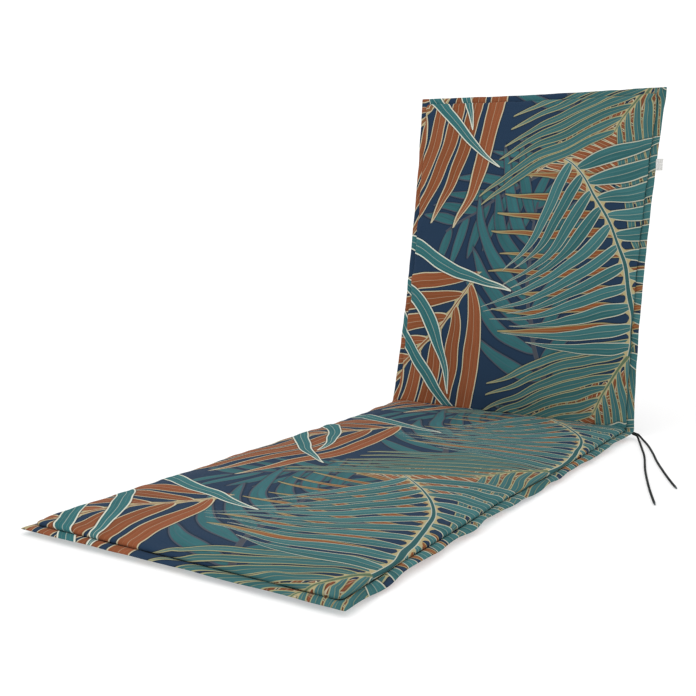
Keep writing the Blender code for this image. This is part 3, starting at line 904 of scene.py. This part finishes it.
cover, tree = new_material("printed_cotton_polyester_canvas")
cloth_place = add_node(tree, "ShaderNodeUVMap", {"uv_map": "cloth"}, {})
# leaves drawn by hand aren't quite even
WANDER_SCALE = 7.0
WANDER_REACH = 0.026
wander = add_node(tree, "ShaderNodeTexNoise", {"noise_dimensions": "2D"}, {
    "Vector": cloth_place.outputs[0], "Scale": WANDER_SCALE, "Detail": 1.0, "Roughness": 0.3,
})
values = {"cloth_place": cloth_place.outputs[0], "wander": wander.outputs["Color"]}
add_steps(tree, values, (
    ("centred", "SUBTRACT", "wander", (0.5, 0.5, 0.5)),
    ("drawn", "MULTIPLY_ADD", "centred", (WANDER_REACH, WANDER_REACH, 0.0), "cloth_place"),
), "ShaderNodeVectorMath")
drawn_parts = add_node(tree, "ShaderNodeSeparateXYZ", {}, {0: values["drawn"]})
place = (drawn_parts.outputs[0], drawn_parts.outputs[1])

colour = linear(NAVY)
for row in FRONDS:
    colour = paint(tree, frond_group, dict(zip(FROND_COLUMNS, row)), place, colour)
for row in LONG_LEAVES:
    colour = paint(tree, long_group, dict(zip(LONG_COLUMNS, row)), place, colour)

# The weave: real threads are 0.65 mm apart, and drawn 1.6 mm apart so that they show at all.
# Thicker stretches of yarn take the dye a little darker.
THREAD_PITCH = 0.0016
SLUB_SCALE = 420.0
SLUB_TONE = 0.16
plain_parts = add_node(tree, "ShaderNodeSeparateXYZ", {}, {0: cloth_place.outputs[0]})
values = {"across": plain_parts.outputs[0], "along": plain_parts.outputs[1]}
add_steps(tree, values, (
    ("warp_turn", "MULTIPLY", "across", math.pi / THREAD_PITCH),
    ("weft_turn", "MULTIPLY", "along", math.pi / THREAD_PITCH),
    ("warp", "SINE", "warp_turn"),
    ("weft", "SINE", "weft_turn"),
    ("over_under", "MULTIPLY", "warp", "weft"),
))
slub = add_node(tree, "ShaderNodeTexNoise", {"noise_dimensions": "2D"}, {
    "Vector": cloth_place.outputs[0], "Scale": SLUB_SCALE, "Detail": 2.0,
})
values["slub"] = slub.outputs[0]
add_steps(tree, values, (
    ("weave", "MULTIPLY_ADD", "over_under", 0.5, "slub"),
    ("faded", "MULTIPLY_ADD", "slub", SLUB_TONE, 1 - SLUB_TONE / 2),
))
toned = add_node(tree, "ShaderNodeMix", {"data_type": "RGBA", "blend_type": "MULTIPLY"}, {
    0: 1.0, 6: colour, 7: values["faded"],
})
# The seam lies in its crease, sewn with black green threads. The stitches are about 3 mm long, and
# drawn 4.2 mm long so that they show. The same dark line also paints the shade of the crease: it
# is drawn wider than the stitching, and the gaps between the stitches are painted dark as shade.
STITCH_LENGTH = 0.0042
STITCH_SHARE = 0.8  # of that length, and the rest is the gap to the next stitch
# the half width of the dark line, which is the stitching and the painted shade of the crease
THREAD_AND_SHADE_HALF = 0.0014
# the gaps between stitches are painted 60 % dark as the crease's shade, and the stitches darker still
GAP_PAINTED_SHADE, STITCH_DARKER = 0.6, 0.35
from_seam = add_node(tree, "ShaderNodeAttribute", {"attribute_name": "from_seam"}, {})
values["from_seam"] = from_seam.outputs["Fac"]
add_steps(tree, values, (
    ("seam_off", "ABSOLUTE", "from_seam"),
    ("in_seam", "LESS_THAN", "seam_off", THREAD_AND_SHADE_HALF),
    ("by_seam", "ADD", "across", "along"),
    ("stitches", "DIVIDE", "by_seam", STITCH_LENGTH),
    ("in_stitch", "FRACT", "stitches"),
    ("sewn", "LESS_THAN", "in_stitch", STITCH_SHARE),
    # the stitches, and the painted shade of the crease in the gaps between them
    ("stitches_and_painted_shade", "MULTIPLY_ADD", "sewn", STITCH_DARKER, GAP_PAINTED_SHADE),
    ("thread_and_painted_shade", "MULTIPLY", "in_seam", "stitches_and_painted_shade"),
))
# the dark ink paints both the stitching and the shade of the crease
threaded_and_shaded = add_node(tree, "ShaderNodeMix", {"data_type": "RGBA"}, {
    0: values["thread_and_painted_shade"], 6: toned.outputs[2], 7: linear("#0B1414"),
})
bump = add_node(tree, "ShaderNodeBump", {}, {
    "Height": values["weave"], "Distance": 0.0003, "Strength": 0.6,
})
end_material(tree, {
    "Base Color": threaded_and_shaded.outputs[2], "Roughness": 0.95, "IOR": 1.45, "Specular IOR Level": 0.08,
    "Sheen Weight": 0.02, "Sheen Roughness": 0.5, "Normal": bump.outputs[0],
})
cushion.data.materials.append(cover)
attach(cushion, "root")
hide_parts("cushion")

# The label is a strip of white satin tape, folded double and sewn into the edge of the back.
# Its selvedges are slightly raised, and its lettering is left off.
LABEL_OUT = 0.0105
LABEL_SEWN_IN = 0.0050
LABEL_TALL = 0.025
LABEL_PARTS = 8  # of its width, and twice as many of its height
TAPE_THICK = 0.00035
TAPE_FOLD_ROUND = 0.00055
TAPE_WAVE = 0.0006
TAPE_WAVE_TURN, TAPE_WAVE_START = 4, 0.7  # over its height, in radians
TAPE_FLAT = LABEL_OUT + LABEL_SEWN_IN - TAPE_FOLD_ROUND  # the width of each layer, up to the fold
fold_at = TAPE_FLAT / 2
low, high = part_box("label")
middle = (Vector(low) + Vector(high)) / 2

bpy.ops.mesh.primitive_grid_add(
    x_subdivisions=LABEL_PARTS, y_subdivisions=2 * LABEL_PARTS, size=1,
)
label = bpy.context.object
label.name = "label_tape"
bpy.ops.object.mode_set(mode="EDIT")
bpy.ops.mesh.select_mode(type="VERT")
bpy.ops.transform.resize(value=(TAPE_FLAT, LABEL_TALL, 1))
bpy.ops.transform.translate(value=(0, 0, TAPE_FOLD_ROUND))


def select_outer_edge(piece, sign):
    """Select the row of points that lies furthest out, with a positive or negative z."""
    bpy.ops.mesh.select_all(action="DESELECT")
    bpy.ops.object.mode_set(mode="OBJECT")
    points = [vert for vert in piece.data.vertices if vert.co.z * sign > 0]
    furthest = max(vert.co.x for vert in points)
    for vert in points:
        vert.select = vert.co.x > furthest - 1e-6
    bpy.ops.object.mode_set(mode="EDIT")


# The upper layer is turned round the fold, and drawn back under itself
select_outer_edge(label, 1)
bpy.ops.mesh.spin(steps=6, angle=math.pi, center=(fold_at, 0, 0), axis=(0, 1, 0))
select_outer_edge(label, -1)
for step in range(LABEL_PARTS):
    bpy.ops.mesh.extrude_region_move(
        TRANSFORM_OT_translate={"value": (-TAPE_FLAT / LABEL_PARTS, 0, 0)},
    )
bpy.ops.mesh.select_all(action="SELECT")
bpy.ops.mesh.remove_doubles(threshold=1e-6)
bpy.ops.mesh.normals_make_consistent(inside=False)
bpy.ops.object.mode_set(mode="OBJECT")
wall = label.modifiers.new("tape", "SOLIDIFY")
wall.thickness = TAPE_THICK
wall.offset = 0
bpy.ops.object.modifier_apply(modifier=wall.name)
for vert in label.data.vertices:
    outward = vert.co.x + fold_at
    turn = vert.co.y / LABEL_TALL * TAPE_WAVE_TURN + TAPE_WAVE_START
    vert.co.z += TAPE_WAVE * math.sin(turn) * outward / LABEL_OUT
label.data.transform(Matrix.Translation((-fold_at + LABEL_OUT - LABEL_SEWN_IN / 2, 0, 0)))
label.data.transform(Matrix.Rotation(FOLD_TURN, 4, "X"))
label.data.transform(Matrix.Translation(middle))
pick(label)
bpy.ops.object.shade_smooth_by_angle(angle=math.radians(50))

# Woven satin tape: fine floats of bright yarn along the tape, which give a soft gloss. They are
# 0.1 mm apart, and drawn 0.5 mm apart so that they show.
RIB_PITCH = 0.0005
SELVEDGE = 0.0014
tape, tree = new_material("woven_satin_tape")
place = add_node(tree, "ShaderNodeTexCoord", {}, {}).outputs["Object"]
turned = add_node(tree, "ShaderNodeMapping", {"vector_type": "TEXTURE"}, {
    "Vector": place, "Location": tuple(middle), "Rotation": (FOLD_TURN, 0, 0),
})
parts = add_node(tree, "ShaderNodeSeparateXYZ", {}, {0: turned.outputs[0]})
values = {"out": parts.outputs[0], "up": parts.outputs[1]}
add_steps(tree, values, (
    ("rib_turn", "MULTIPLY", "up", math.tau / RIB_PITCH),
    ("ribs", "SINE", "rib_turn"),
    ("weft_turn", "MULTIPLY", "out", math.tau / RIB_PITCH),
    ("weft", "SINE", "weft_turn"),
    ("grain", "MULTIPLY_ADD", "weft", 0.4, "ribs"),
    ("from_middle", "ABSOLUTE", "up"),
    ("to_selvedge", "SUBTRACT", "from_middle", LABEL_TALL / 2 - SELVEDGE),
    ("selvedge", "GREATER_THAN", "to_selvedge", 0),
    ("height", "MULTIPLY_ADD", "selvedge", 1.5, "grain"),
    ("tone", "MULTIPLY_ADD", "grain", 0.12, 0.5),
    ("selvedge_tone", "MULTIPLY_ADD", "selvedge", -0.5, "tone"),
))
yarn = add_node(tree, "ShaderNodeMix", {"data_type": "RGBA"}, {
    0: values["selvedge_tone"], 6: linear("#D6D5D1"), 7: linear("#F2F1EE"),
})
bump = add_node(tree, "ShaderNodeBump", {}, {"Height": values["height"], "Distance": 0.0001})
end_material(tree, {
    "Base Color": yarn.outputs[2], "Roughness": 0.45, "IOR": 1.5, "Specular IOR Level": 0.3,
    "Sheen Weight": 0.1, "Normal": bump.outputs[0],
})
label.data.materials.append(tape)
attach(label, "root")
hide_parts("label")

# The floor is a large sheet of matt white paper, lit from below a little, so that it stays white
# under the soft even light of the room.
FLOOR_SIZE = 60
FLOOR_GLOW = 0.40
ROOM_LIGHT = 1.12
KEY_POWER = 9
KEY_SIZE = 2.0
KEY_PLACE = (-1.2, -1.6, 3.0)
KEY_AIM = (0, 0.1, 0.1)
bpy.ops.mesh.primitive_plane_add(size=FLOOR_SIZE)
floor = bpy.context.object
floor.name = "floor"
paper, tree = new_material("matt_white_paper")
end_material(tree, {
    "Base Color": linear("#CFCFCF"), "Roughness": 0.95, "IOR": 1.45, "Specular IOR Level": 0.0,
    "Emission Color": (1.0, 1.0, 1.0, 1.0), "Emission Strength": FLOOR_GLOW,
})
floor.data.materials.append(paper)

scene = bpy.context.scene
scene.view_settings.view_transform = "Standard"
world = bpy.data.worlds.new("soft_white_room")
scene.world = world
world.use_nodes = True
world.node_tree.nodes["Background"].inputs[0].default_value = (1.0, 1.0, 1.0, 1.0)
world.node_tree.nodes["Background"].inputs[1].default_value = ROOM_LIGHT

key_data = bpy.data.lights.new("key", "AREA")
key_data.energy = KEY_POWER
key_data.size = KEY_SIZE
key = bpy.data.objects.new("key", key_data)
key.location = KEY_PLACE
key.rotation_euler = (Vector(KEY_AIM) - key.location).to_track_quat("-Z", "Y").to_euler()
bpy.context.collection.objects.link(key)
